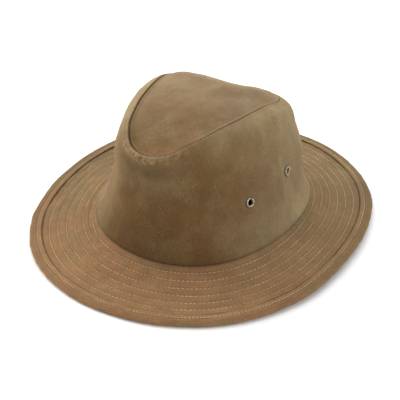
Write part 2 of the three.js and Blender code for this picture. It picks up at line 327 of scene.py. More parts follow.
OUTER_UPS = np.concatenate([np.linspace(0, 0.9, 56), np.linspace(0.91, 0.985, 16)])
INNER_UPS = np.concatenate([np.linspace(0.93, 0.1, 22), [0.04, 0.005]])
WALL_NOISE = ((0.35, 46, 11), (0.12, 17, 12), (0.035, 6, 13))
INNER_NOISE = ((0.25, 40, 14),)
# The next noise makes the painted highlight along the lip uneven.
LIP_HIGHLIGHT_NOISE = ((0.25, 9, 15), (0.25, 4, 16))
SEAM_CALM = 9  # below the seam, where the folds fade out
FOOT_CALM = 0.06  # share of the wall's height where they fade out above the foot
FOOT_TUCK = 0.5  # how far the wall's foot is drawn in
SOFT_FOOT_ANGLE = 104  # where the wall runs softly into the brim, on the wearer's left
CLOSED_RISE = LIP_HEIGHT - 0.1  # of the tip's edge where the seam is closed
CLOSED_ARC = 62  # degrees either side of the back where the seam is closed
OPENING_ARC = 24  # degrees over which it opens

# Soft dents and folds of the crown wall. Angle, spread and lean are degrees round the hat, up and
# reach are shares of the wall's height, and rise is millimetres out of the cloth.
WALL_FOLDS = (
    {"angle": 88.5, "spread": 1.6, "lean": 2, "up": 0.42, "reach": 0.22, "rise": 0.9},
    {"angle": 84.5, "spread": 2.6, "lean": 2, "up": 0.42, "reach": 0.24, "rise": -0.9},
    {"angle": 80, "spread": 2.2, "lean": 4, "up": 0.86, "reach": 0.12, "rise": 0.45},
    {"angle": 84, "spread": 2.2, "lean": 4, "up": 0.85, "reach": 0.12, "rise": -0.45},
    {"angle": 96, "spread": 7, "lean": 10, "up": 0.17, "reach": 0.13, "rise": -1.0},
    {"angle": 52, "spread": 10, "lean": -30, "up": 0.45, "reach": 0.3, "rise": -1.2},
    {"angle": 30, "spread": 9, "lean": -20, "up": 0.55, "reach": 0.3, "rise": 0.9},
    {"angle": -12, "spread": 9, "lean": 12, "up": 0.72, "reach": 0.28, "rise": -1.6},
    {"angle": -34, "spread": 9, "lean": 12, "up": 0.62, "reach": 0.34, "rise": 1.4},
    {"angle": 140, "spread": 8, "lean": 20, "up": 0.4, "reach": 0.25, "rise": -1.0},
    {"angle": 205, "spread": 9, "lean": -15, "up": 0.5, "reach": 0.25, "rise": 0.9},
    {"angle": 236, "spread": 7, "lean": 12, "up": 0.35, "reach": 0.2, "rise": -0.9},
    {"angle": 292, "spread": 8, "lean": -12, "up": 0.5, "reach": 0.25, "rise": -0.8},
)
# Where the wall's foot flares out over the brim, in the same measures.
FOOT_FLARES = (
    {"angle": -68, "spread": 30, "reach": 0.1, "rise": 3.0},
    {"angle": SOFT_FOOT_ANGLE, "spread": 30, "reach": 0.075, "rise": 2.4},
)

# Puckers along the front of the lip: height, number round the hat, start.
PUCKERS = ((1, 62, 0), (0.6, 43, 1))


def wall_relief(points, up):
    """How far the crown's cloth stands out of the plain wall."""
    relief = layered_noise(points, WALL_NOISE)
    for fold in WALL_FOLDS:
        rise = (up - fold["up"])[:, None]
        side = turn_distance(fold["angle"])[None, :] - fold["lean"] * rise
        relief += fold["rise"] * bump(side, fold["spread"]) * bump(rise, fold["reach"])
    below_seam = np.linalg.norm(points - seam(turns)[None], axis=-1)
    relief *= np.clip(below_seam / SEAM_CALM, 0, 1) * np.clip(up / FOOT_CALM, 0, 1)[:, None]
    for flare in FOOT_FLARES:
        reach = bump(up, flare["reach"])[:, None]
        relief += flare["rise"] * reach * sector(flare["angle"], flare["spread"])
    front = sector(angle=-2, spread=34)
    relief += band(below_seam, middle=3.4, half=2.2, amount=0.1 + 1.1 * front)
    relief -= band(below_seam, middle=10, half=4.5, amount=0.1 + 1.3 * front)
    puckers = sum(
        height * np.sin(turns * 2 * np.pi * count + start) for height, count, start in PUCKERS
    )
    puckers *= 0.03 + 0.3 * sector(angle=4, spread=22)
    relief += band(below_seam, middle=4.5, half=2.6, amount=puckers)
    return relief


# The wall's turned edge along the tip seam, with its seam allowance under the tip: inward of the
# seam and above it.
LIP_ROLL = (
    (0.03, -0.42),
    (0.16, -0.18),
    (0.42, -0.02),
    (0.8, 0.06),
    (1.15, 0.05),
    (1.48, -0.08),
    (1.7, -0.34),
    (WALL, -0.7),
    (WALL, -1.6),
    (WALL, -3.9),
    (WALL + 3.5, -4.1),
    (WALL + 3.5, -4.8),
    (WALL - 0.1, -4.7),
)
ALLOWANCE_BELOW = -3  # the rows under this are the allowance, which rises with the tip at the back


def wall_rings():
    """From the foot up the outside, over the lip and down the inside."""
    outer = wall_point(turns, OUTER_UPS)
    outer += grid_normals(outer) * wall_relief(outer, OUTER_UPS)[..., None]
    tuck = band(OUTER_UPS, middle=0, half=0.012, amount=FOOT_TUCK)
    outer -= outward(foot, turns) * tuck[:, None, None]
    lift = CLOSED_RISE * (1 - seam_depth())
    lip = np.stack(
        [
            beside_seam(turns, np.full(STEPS_ROUND, back), rise + lift * (rise < ALLOWANCE_BELOW))
            for back, rise in LIP_ROLL
        ]
    )
    inner = wall_point(turns, INNER_UPS)
    inner += grid_normals(inner) * (WALL + layered_noise(inner, INNER_NOISE))[..., None]
    return np.concatenate([outer, lip, inner])


def eyelet_place(angle, up):
    """The point on the wall, and the direction straight out of the cloth there."""
    near = np.array([-SMALL_TURN, 0, SMALL_TURN])
    patch = wall_point(angle / 360 + near, up + near)
    out = unit(np.cross(patch[1, 2] - patch[1, 0], patch[2, 1] - patch[0, 1]))
    return patch[1, 1], out


def foot_shade():
    """How much painted shade lies at the crown's foot: it fades where the wall runs softly into
    the brim.
    """
    return 1 - 0.85 * sector(SOFT_FOOT_ANGLE, spread=34)


def seam_depth():
    """How open the tip seam is, and how much painted shadow lies in its groove: it closes up
    towards the back.
    """
    return np.clip((np.abs(turn_distance(180)) - CLOSED_ARC) / OPENING_ARC, 0, 1)


def wall_painted_light_and_tone(rings):
    """Painted highlights along the lip of the tip seam, and painted shade in its groove, below the
    lip, round the eyelets and at the foot. The back is a little darker.
    """
    from_seam = np.linalg.norm(rings - seam(turns)[None], axis=-1)
    from_foot = np.linalg.norm(rings - foot(turns)[None], axis=-1)
    inward = np.sum((seam(turns) - rings) * outward(seam, turns), axis=-1)
    front = sector(angle=0, spread=34)
    lumps = 0.5 + layered_noise(rings, LIP_HIGHLIGHT_NOISE)
    # Painted highlight along the lip's top, and on its puckers at the front.
    crest = band(from_seam, middle=0.4, half=0.9, amount=0.22 + 0.45 * front)
    crest += band(from_seam, middle=3.6, half=2.8, amount=1.15 * front * lumps)
    # Painted shadow in the seam's groove, behind the lip's crest.
    past_crest = np.clip((inward - 1.45 + 0.35 * front) / 0.35, 0, 1)
    groove = band(from_seam, middle=0, half=4, amount=0.8 * past_crest)
    # Painted shade in the hollow below the lip at the front.
    under_lip_shade = 0.55 * sector(angle=0, spread=30)
    painted_shade_and_tone = band(from_seam, middle=15, half=8, amount=under_lip_shade)
    # A little darker towards the back.
    painted_shade_and_tone += 0.17 * sector(angle=200, spread=75)
    # A ring of painted shadow round each eyelet's flange.
    for _, angle, up in EYELETS:
        from_eyelet = np.linalg.norm(rings - eyelet_place(angle, up)[0], axis=-1)
        painted_shade_and_tone += band(from_eyelet, middle=4.4, half=0.7, amount=0.5)
    # Painted shade in the crease at the foot, and fading up the wall from it.
    painted_shade_and_tone += band(from_foot, middle=0, half=3, amount=0.3 * foot_shade())
    painted_shade_and_tone += band(from_foot, middle=0, half=20, amount=0.16 * foot_shade())
    return crest - groove * seam_depth() - painted_shade_and_tone


# ---------------------------------------------------------------- tip

TIP_SHARES = np.concatenate([np.linspace(0.02, 0.9, 46), np.linspace(0.915, 1, 14)])
TIP_NOISE = ((0.3, 42, 21), (0.1, 15, 22), (0.03, 6, 23))
UNDERSIDE_STEP = 4  # the tip's underside has one ring for each four on top
TIP_CALM = 8  # from the edge, where the folds fade out

# Low ridges and hollows of the tip: place, half length and width, lean in plan, and rise.
TIP_FOLDS = (
    {"x": 2, "y": -34, "long": 46, "wide": 7, "lean": 8, "rise": 0.9},
    {"x": 26, "y": 20, "long": 32, "wide": 7, "lean": 50, "rise": 0.8},
    {"x": 30, "y": 6, "long": 30, "wide": 7, "lean": 50, "rise": -0.8},
    {"x": -20, "y": 10, "long": 30, "wide": 9, "lean": 28, "rise": 0.4},
    {"x": 0, "y": 40, "long": 26, "wide": 12, "lean": 0, "rise": -0.6},
    {"x": 12, "y": -50, "long": 22, "wide": 7, "lean": -30, "rise": -0.6},
    {"x": -14, "y": -20, "long": 26, "wide": 8, "lean": 20, "rise": -0.5},
)


def tip_relief(points):
    """How far the tip's cloth stands out of its smooth dome."""
    relief = layered_noise(points, TIP_NOISE)
    for fold in TIP_FOLDS:
        lean = math.radians(fold["lean"])
        x = points[..., 0] - fold["x"]
        y = points[..., 1] - fold["y"]
        along = x * math.sin(lean) + y * math.cos(lean)
        across = x * math.cos(lean) - y * math.sin(lean)
        relief += fold["rise"] * bump(along, fold["long"]) * bump(across, fold["wide"])
    return relief


def from_tip_edge(points):
    """Distance of each point from the tip's edge at its turn."""
    return np.linalg.norm(points - tip_point(turns, np.array([1.0])), axis=-1)


def tip_rings():
    """From the underside's middle out to the edge, round it and back over the top."""
    top = tip_point(turns, TIP_SHARES)
    to_edge = from_tip_edge(top)
    closed = 1 - seam_depth()
    top[..., 2] += tip_relief(top) * np.clip(to_edge / TIP_CALM, 0, 1)
    top[..., 2] += band(to_edge, middle=1.7, half=1.4, amount=0.35 + 0.6 * seam_depth())
    edge_rise = closed * CLOSED_RISE - 0.5 * seam_depth()
    top[..., 2] += band(to_edge, middle=0, half=0.5 + 1.5 * closed, amount=edge_rise)
    below = np.concatenate([top[:-1:UNDERSIDE_STEP], top[-1:]])
    below[..., 2] -= TIP_THICKNESS
    return np.concatenate([below, top[::-1]])


def tip_painted_light(rings):
    """Painted shadow in the groove of the seam, and painted highlights along the crest and at the
    near back corner, where the rolled cloth catches the light.
    """
    side, along = rings[..., 0], rings[..., 1]
    crest = band(side, middle=4, half=9, amount=0.2) * bump(along + 20, half=55)
    corner = band(side, middle=48, half=17, amount=0.38) * bump(along - 28, half=30)
    groove = band(from_tip_edge(rings), middle=0, half=0.45, amount=0.7)
    return crest + corner - groove * seam_depth()


# ---------------------------------------------------------------- brim

ROW_SHARES = np.linspace(0.112, 0.862, 6)  # quilting rows, as shares of the way to the binding
BRIM_SHARES = np.linspace(0, 1, 92)[1:]  # rings of the brim, as shares of the way to its edge
QUILT_PUFF = 0.7
QUILT_FULLNESS = 0.7  # under one, the cloth between two rows is fuller than a plain wave
PUFF_LENGTH = 1.2  # over which the cloth puffs up past the last row
STRIP_PUFF = 0.6  # how much higher the sewn strip is than in the frame
SIDE_CREASE = 8.8  # a crease beside the crown, on the wearer's right: its distance from the foot
SIDE_CREASE_ANGLE = -66
UNDERSIDE_PUFF = 0.5  # share of the top's relief that shows on the underside
EDGE_ROOM = 0.2  # more room than the gap between the brim's edge and the binding
FLAT_START = 0.6  # how far short of the binding the brim begins to flatten
FLAT_LENGTH = 1.2  # over which it does
FLAT_DROP = 0.02
BRIM_NOISE = ((0.1, 9, 31), (0.22, 34, 32))


def row_distances(row):
    """How far out from the foot a quilting row runs."""
    return ROW_SHARES[row] * (width - BINDING_WIDTH)


def quilt_relief(distance, points):
    """Height of the quilted cloth over the flat brim at distances out from the foot."""
    first, second, last = row_distances(0), row_distances(1), row_distances(-1)
    in_rows = (distance > first) & (distance < last)
    channel = np.abs(np.sin(np.pi * (distance - first) / (second - first))) ** QUILT_FULLNESS
    relief = np.where(in_rows, QUILT_PUFF * channel, 0)
    strip = np.clip(distance / first, 0, 1)
    roll = (STRIP_HEIGHT + STRIP_PUFF) * (1 - strip**4) ** QUILT_FULLNESS
    relief = np.where(distance <= first, roll, relief)
    crease = 0.55 * sector(SIDE_CREASE_ANGLE, spread=30)
    relief -= band(distance, SIDE_CREASE, half=0.9, amount=crease)
    past = np.maximum(distance - last, 0)
    puff = QUILT_PUFF * (1 - np.exp(-past / PUFF_LENGTH))
    relief = np.where(distance >= last, puff, relief)
    waves = layered_noise(points, BRIM_NOISE)
    return relief + waves * np.clip((distance - first * 0.8) / 4, 0, 1)


def brim_rings():
    """From the foot out along the underside, and back over the top."""
    inside = np.linspace(-WALL - GAP, 0, 4)[:, None] * np.ones(STEPS_ROUND)
    outside = BRIM_SHARES[:, None] * (width - BINDING_WALL - GAP - EDGE_ROOM)
    distance = np.concatenate([inside, outside])
    flat = np.clip((distance - width + BINDING_WIDTH + FLAT_START) / FLAT_LENGTH, 0, 1)
    top = brim_point(turns[None, :], distance, BRIM_THICKNESS / 2)
    top[..., 2] += quilt_relief(distance, top) * (1 - flat) - FLAT_DROP * flat
    distance, flat = distance[::2], flat[::2]
    bottom = brim_point(turns[None, :], distance, -BRIM_THICKNESS / 2)
    bottom[..., 2] -= quilt_relief(distance, bottom) * UNDERSIDE_PUFF * (1 - flat)
    return np.concatenate([bottom, top[::-1]])


def brim_painted_light(rings):
    """Painted shade by the binding, at the crown's foot, in the creases and on the foot's side of
    each row, and a painted highlight on its far side, mostly at the front on the wearer's left.
    """
    distance = np.linalg.norm((rings - foot(turns)[None])[..., :2], axis=-1)
    on_right = sector(SIDE_CREASE_ANGLE, spread=32)
    row_highlight = 0.3 * sector(angle=45, spread=75)
    # Painted shadow along the binding's inner edge.
    painted_light_and_tone = -band(distance, middle=width - BINDING_WIDTH - 0.6, half=0.8, amount=0.9)
    # Painted shade at the foot, in the sewn strip's outer crease and in the crease by the crown.
    painted_light_and_tone -= band(distance, middle=0.2, half=0.9, amount=0.4 * foot_shade())
    painted_light_and_tone -= band(distance, middle=row_distances(0), half=0.7, amount=0.2 + 0.2 * on_right)
    painted_light_and_tone -= band(distance, SIDE_CREASE, half=0.7, amount=0.6 * on_right)
    # Painted highlight on the far side of each row, painted shade on the foot's side.
    for row in range(len(ROW_SHARES)):
        from_row = distance - row_distances(row)
        painted_light_and_tone += band(from_row, middle=0.6, half=0.8, amount=row_highlight)
        painted_light_and_tone -= band(from_row, middle=-0.9, half=0.7, amount=0.3)
    return painted_light_and_tone


# ---------------------------------------------------------------- binding

BINDING_HALF = BRIM_THICKNESS / 2 + GAP
PUCKER_NOISE = ((0.09, 7, 41), (0.12, 22, 42))
EDGE_NOISE = ((0.1, 9, 43), (0.18, 40, 44))

# Section of the binding: how far in from the brim's edge, and how high over its middle.
BINDING_SECTION = (
    (10.0, -BINDING_HALF - 0.15),
    (9.8, -BINDING_HALF - BINDING_WALL),
    (6, -BINDING_HALF - BINDING_WALL),
    (3, -BINDING_HALF - BINDING_WALL),
    (1.5, -BINDING_HALF - 0.95),
    (0.7, -BINDING_HALF - 0.55),
    (0.2, -BINDING_HALF + 0.1),
    (0, -0.6),
    (0.05, 0.2),
    (0.3, 0.9),
    (0.75, 1.45),
    (1.4, 1.8),
    (2.3, 2.08),
    (3.4, 2.26),
    (4.4, 2.3),
    (5.2, 2.22),
    (5.8, 2.04),
    (6.2, 1.92),
    (6.6, 2.02),
    (7.1, 2.3),
    (7.8, 2.52),
    (8.6, 2.64),
    (9.4, 2.62),
    (10.0, 2.46),
    (10.35, 2.16),
    (10.3, 1.6),
    (10.0, BINDING_HALF + 0.15),
    (8, BINDING_HALF),
    (4, BINDING_HALF),
    (BINDING_WALL, BINDING_HALF),
    (BINDING_WALL, -BINDING_HALF),
    (8, -BINDING_HALF),
)
backs, rises = np.array(BINDING_SECTION).T[..., None]


def binding_rings():
    """From the underside, round the brim's edge, over the top and back along the cloth."""
    rings = brim_point(turns[None, :], width[None, :] - backs)
    rings[..., 2] = edge_height(turns)[None, :] + rises
    on_top = np.clip((rises - BINDING_HALF - 0.3) / 0.5, 0, 1)
    rings[..., 2] += layered_noise(rings, PUCKER_NOISE) * on_top
    side_wave = layered_noise(rings, EDGE_NOISE) * bump(backs, half=2)
    return rings + outward(foot, turns) * side_wave[..., None]


def binding_painted_light(rings):
    """Painted highlight on the folded inner edge, painted shade under it, in the stitched channel
    and over the outer roll.
    """
    painted_light_and_tone = band(backs, middle=8.6, half=1.5, amount=0.3)
    painted_light_and_tone -= band(backs, middle=6.1, half=0.6, amount=0.3)
    painted_light_and_tone -= band(backs, middle=2.6, half=2.6, amount=0.32)
    painted_light_and_tone -= band(backs, middle=10.4, half=0.3, amount=0.7)
    return np.broadcast_to(painted_light_and_tone * (rises > BINDING_HALF), rings.shape[:-1])


# ---------------------------------------------------------------- meshes


def make_piece(name, points, faces, uv, slot, *nodes):
    """A smooth mesh from millimetres, riding on the hat and standing for those frame nodes."""
    mesh = bpy.data.meshes.new(name)
    mesh.from_pydata((points * MM).tolist(), [], faces)
    if uv is not None:
        mesh.uv_layers.new(name="cloth").data.foreach_set("uv", np.asarray(uv, float).ravel())
    mesh.shade_smooth()
    piece = bpy.data.objects.new(name, mesh)
    bpy.context.scene.collection.objects.link(piece)
    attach(piece, "root")
    if nodes:
        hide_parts(*nodes)
    return piece


def ring_faces(count, sides, capped=False):
    """Quads between neighbouring rings. The last ring joins the first unless it is capped."""
    corners = np.arange(count * sides).reshape(count, sides)
    here = corners[:-1] if capped else corners
    there = corners[1:] if capped else np.roll(corners, -1, axis=0)
    quads = [here, np.roll(here, -1, axis=1), np.roll(there, -1, axis=1), there]
    return np.stack(quads, axis=-1).reshape(-1, 4).tolist()


def loft_piece(name, rings, painted_light_and_tone, slot, *nodes, capped=False):
    """Rings joined into a closed surface, with a map that measures the cloth in centimetres.

    The third argument, a value for each point, is above zero where a highlight is painted, and
    below zero where shade is painted and where the back of the wall is a little darker.
    """
    count = len(rings)
    faces = ring_faces(count, STEPS_ROUND, capped)
    girths = np.sum(np.linalg.norm(rings - np.roll(rings, 1, axis=1), axis=-1), axis=1)
    girth = np.mean(girths) / 10
    steps = np.linalg.norm(np.diff(rings, axis=0, append=rings[:1]), axis=-1).mean(axis=1) / 10
    climb = np.concatenate([[0], np.cumsum(steps)])
    columns = turns * girth
    next_column = columns + girth / STEPS_ROUND
    rows = count - 1 if capped else count
    u = np.stack([columns, next_column, next_column, columns], axis=-1)[None].repeat(rows, axis=0)
    low, high = climb[:rows, None], climb[1 : rows + 1, None]
    v = np.concatenate([low, low, high, high], axis=1)[:, None].repeat(STEPS_ROUND, axis=1)
    uv = np.stack([u, v], axis=-1).reshape(-1, 2)
    points = rings.reshape(-1, 3)
    if capped:
        first, last = len(points), len(points) + 1
        points = np.concatenate([points, [rings[0].mean(axis=0)], [rings[-1].mean(axis=0)]])
        start = (count - 1) * STEPS_ROUND
        pairs = [(a, (a + 1) % STEPS_ROUND) for a in range(STEPS_ROUND)]
        caps = [[first, b, a] for a, b in pairs] + [[last, start + a, start + b] for a, b in pairs]
        faces += caps
        uv = np.concatenate([uv, np.zeros((3 * len(caps), 2))])
        painted_light_and_tone = np.concatenate([painted_light_and_tone.ravel(), [0, 0]])
    piece = make_piece(name, points, faces, uv, slot, *nodes)
    piece.data.attributes.new("painted_light_and_tone", "FLOAT", "POINT").data.foreach_set("value", painted_light_and_tone.ravel())
    return piece


# ---------------------------------------------------------------- stitching

STITCH_STATIONS = 5
STITCH_SIDES = 6
STITCH_PITCH = 3.5
STITCH_LENGTH = 0.84 * STITCH_PITCH
THREAD_RADIUS = 0.42
BINDING_ROW_BACK = 6.7  # the binding's stitch row, in from the edge
BINDING_ROW_RISE = 2.2
BRIM_ROW_RISE = 0.1  # of the quilting rows off the flat brim
TIP_ROW_BACK = 1.3  # the tip seam's stitch row, in from the seam
PITCH_SCATTER = 0.05  # share of the pitch by which stitches start early or late
LENGTH_SCATTER = (0.86, 1.06)
SWAY = 0.06  # of a stitch to the side
SKEW = 0.05  # of a stitch from one end to the other
ARCH = 1.15  # rise of a stitch's middle over its ends, in thread radii
SINK = 0.75  # how deep its ends lie in the cloth, in thread radii
END_THICKNESS = 0.55  # share of the thread's thickness at its ends


def stitch_run(line, facing, pitch, length, seed, sewn=1):
    """Tubes of short threads along a closed level line, on cloth that faces up (1) or down (-1).

    Sewn is the share of the line that has stitches, around its start.
    """
    random = np.random.default_rng(seed)
    steps = np.linalg.norm(np.roll(line, -1, axis=0) - line, axis=-1)
    travel = np.concatenate([[0], np.cumsum(steps)])
    closed_line = np.concatenate([line, line[:1]])
    girth = travel[-1]
    count = int(round(girth / pitch))
    starts = np.arange(count) * girth / count + random.normal(0, PITCH_SCATTER * pitch, count)
    lengths = length * random.uniform(*LENGTH_SCATTER, count)
    starts = starts[np.abs(np.mod(starts / girth + 0.5, 1) - 0.5) <= sewn / 2]
    count = len(starts)
    share = np.linspace(0, 1, STITCH_STATIONS)
    place = np.mod(starts[:, None] + lengths[:count, None] * share, girth)
    centre = np.stack([np.interp(place, travel, closed_line[:, k]) for k in range(3)], axis=-1)
    normal = np.array([0, 0, facing])
    side = unit(np.cross(normal, np.gradient(centre, axis=1)))
    arch = np.sin(np.pi * share)
    lift = THREAD_RADIUS * (ARCH * arch**0.6 - SINK)
    thickness = THREAD_RADIUS * (END_THICKNESS + (1 - END_THICKNESS) * arch**0.5)
    sway = random.normal(0, SWAY, (count, 1)) + random.normal(0, SKEW, (count, 1)) * (share - 0.5)
    centre = centre + normal * lift[None, :, None] + side * sway[..., None]
    angle = np.arange(STITCH_SIDES) / STITCH_SIDES * 2 * np.pi
    ring = side[:, :, None] * np.cos(angle)[:, None] + normal * np.sin(angle)[:, None]
    return centre[:, :, None] + ring * thickness[None, :, None, None]


def stitch_piece(name, runs, slot):
    """The tubes of some runs of stitches as one piece."""
    points = np.concatenate([run.reshape(-1, 3) for run in runs])
    tubes = np.arange(len(points)).reshape(-1, STITCH_STATIONS, STITCH_SIDES)
    low, high = tubes[:, :-1], tubes[:, 1:]
    quads = np.stack([low, np.roll(low, -1, axis=2), np.roll(high, -1, axis=2), high], axis=-1)
    faces = quads.reshape(-1, 4).tolist() + tubes[:, 0, ::-1].tolist() + tubes[:, -1].tolist()
    return make_piece(name, points, faces, None, slot)


def brim_run(row, facing, seed):
    """A quilting row on the brim's top face (facing 1) or on its underside (-1)."""
    rise = facing * (BRIM_THICKNESS / 2 + BRIM_ROW_RISE)
    line = brim_point(turns, row_distances(row), rise)
    return stitch_run(line, facing, STITCH_PITCH, STITCH_LENGTH, seed)


def binding_run():
    """The row along the middle of the binding."""
    line = brim_point(turns, width - BINDING_ROW_BACK)
    line[:, 2] = edge_height(turns) + BINDING_ROW_RISE
    return stitch_run(line, facing=1, pitch=2.9, length=2.3, seed=70)


def tip_seam_run():
    """The row in the tip seam, round its front part."""
    line = beside_seam(turns, np.full(STEPS_ROUND, TIP_ROW_BACK), 0.0)
    return stitch_run(line, facing=1, pitch=3.6, length=2.2, seed=80, sewn=0.42)


# ---------------------------------------------------------------- eyelets

EYELET_SIDES = 48
EYELET_ROLL = (-60, 200, 12)  # first and last degrees, and points, round the rolled flange
EYELET_ROLL_HEIGHT = 0.62
EYELET_ROLL_MIDDLE = GAP + 0.35
HOLE_SIDES = 32
DRILL_LENGTH = 10


def make_eyelet(name, angle, up):
    """A rolled eyelet set through the wall, at its node's place."""
    centre, out = eyelet_place(angle, up)
    middle = (EYELET_FLANGE_RADIUS + EYELET_THROAT_RADIUS) / 2
    half = (EYELET_FLANGE_RADIUS - EYELET_THROAT_RADIUS) / 2
    first, last, count = EYELET_ROLL
    front = [
        (middle + half * math.cos(a), EYELET_ROLL_MIDDLE + EYELET_ROLL_HEIGHT * math.sin(a))
        for a in np.linspace(math.radians(first), math.radians(last), count)
    ]
    back = -WALL - GAP
    barrel = [
        (EYELET_BORE_RADIUS, -0.5),
        (EYELET_BORE_RADIUS, back - 0.3),
        (EYELET_BORE_RADIUS + 0.3, back - 0.6),
        (EYELET_BACK_RADIUS - 0.2, back - 0.5),
        (EYELET_BACK_RADIUS, back - 0.15),
        (EYELET_BARREL_RADIUS, back),
        (EYELET_BARREL_RADIUS, GAP - 0.15),
    ]
    profile = np.array(front + barrel)
    spin = np.arange(EYELET_SIDES) / EYELET_SIDES * 2 * np.pi
    across = unit(np.cross([0, 0, 1], out))
    over = np.cross(out, across)
    ring = across * np.cos(spin)[:, None] + over * np.sin(spin)[:, None]
    points = centre + profile[:, 0, None, None] * ring + profile[:, 1, None, None] * out
    faces = ring_faces(len(profile), EYELET_SIDES)
    return make_piece(name + "_rolled", points.reshape(-1, 3), faces, None, "antique_brass", name)


def drill_eyelet_holes(wall):
    """Cuts a round hole in the wall for each eyelet."""
    for name, angle, up in EYELETS:
        centre, out = eyelet_place(angle, up)
        bpy.ops.mesh.primitive_cylinder_add(
            vertices=HOLE_SIDES,
            radius=(EYELET_BARREL_RADIUS + GAP) * MM,
            depth=DRILL_LENGTH * MM,
            location=centre * MM,
            rotation=Vector(out).to_track_quat("Z", "Y").to_euler(),
        )
        drill = bpy.context.object
        hole = wall.modifiers.new(name, "BOOLEAN")
        hole.object = drill
        hole.operation = "DIFFERENCE"
        hole.solver = "EXACT"
        graph = bpy.context.evaluated_depsgraph_get()
        cut = bpy.data.meshes.new_from_object(wall.evaluated_get(graph))
        wall.modifiers.clear()
        wall.data = cut
        bpy.data.objects.remove(drill)


# ---------------------------------------------------------------- materials

NOISE_RANGE = (0.3, 0.7)  # where most of a noise texture's values lie


class Nodes:
    """A material's node tree, built a node at a time."""

    def __init__(self, name):
        self.material = bpy.data.materials.new(name)
        self.material.use_nodes = True
        self.tree = self.material.node_tree
        self.shader = self.tree.nodes["Principled BSDF"]

    def add(self, kind, inputs=None, **settings):
        """Adds a node. Inputs are by name or number: an output to link, or a value."""
        node = self.tree.nodes.new(kind)
        for key, value in settings.items():
            setattr(node, key, value)
        for key, value in (inputs or {}).items():
            if isinstance(value, bpy.types.NodeSocket):
                self.tree.links.new(value, node.inputs[key])
            else:
                node.inputs[key].default_value = value
        return node

    def noise(self, place, scale, detail, roughness=0.55):
        values = {"Vector": place, "Scale": scale, "Detail": detail, "Roughness": roughness}
        return self.add("ShaderNodeTexNoise", values).outputs["Fac"]

    def remap(self, value, low, high, to_low, to_high):
        inputs = {"Value": value, 1: low, 2: high, 3: to_low, 4: to_high}
        return self.add("ShaderNodeMapRange", inputs, interpolation_type="SMOOTHSTEP").outputs[0]

    def stretch(self, noise, low, high):
        """A noise's usual range, stretched from low to high."""
        return self.remap(noise, *NOISE_RANGE, low, high)

    def blend(self, share, first, second, mode="MIX"):
        inputs = {0: share, 6: first, 7: second}
        return self.add("ShaderNodeMix", inputs, data_type="RGBA", blend_type=mode).outputs[2]

    def vary(self, colour, share):
        grey = self.add("ShaderNodeCombineColor", {0: share, 1: share, 2: share}).outputs[0]
        return self.blend(1.0, colour, grey, "MULTIPLY")

    def math(self, operation, first, second=0.0):
        return self.add("ShaderNodeMath", {0: first, 1: second}, operation=operation).outputs[0]

    def bump(self, height, strength, distance, before=None):
        inputs = {"Height": height, "Strength": strength, "Distance": distance}
        if before is not None:
            inputs["Normal"] = before
        return self.add("ShaderNodeBump", inputs).outputs["Normal"]

    def link(self, output, name):
        self.tree.links.new(output, self.shader.inputs[name])

    def set(self, **values):
        for name, value in values.items():
            self.shader.inputs[name.replace("_", " ")].default_value = value


def shade(colour, share=1):
    return (colour[0] * share, colour[1] * share, colour[2] * share, 1)


WEAVE_PITCH = 0.055  # centimetres from one thread of the cloth to the next
WAVE_TEXTURE_RATE = 20  # radians a unit in Blender's wave texture at a scale of one
PINKISH = (1.02, 0.985, 0.985)
OLIVE = (0.98, 1.01, 0.95)
DUST = (0.4, 0.3, 0.17)
# Browns of the painted highlights, and of the painted shade, which also darkens the wall's back.
PAINTED_HIGHLIGHT = (0.34, 0.235, 0.13)
PAINTED_SHADE_AND_TONE = (0.055, 0.03, 0.012)
SHEEN_TINT = (0.95, 0.76, 0.48, 1)


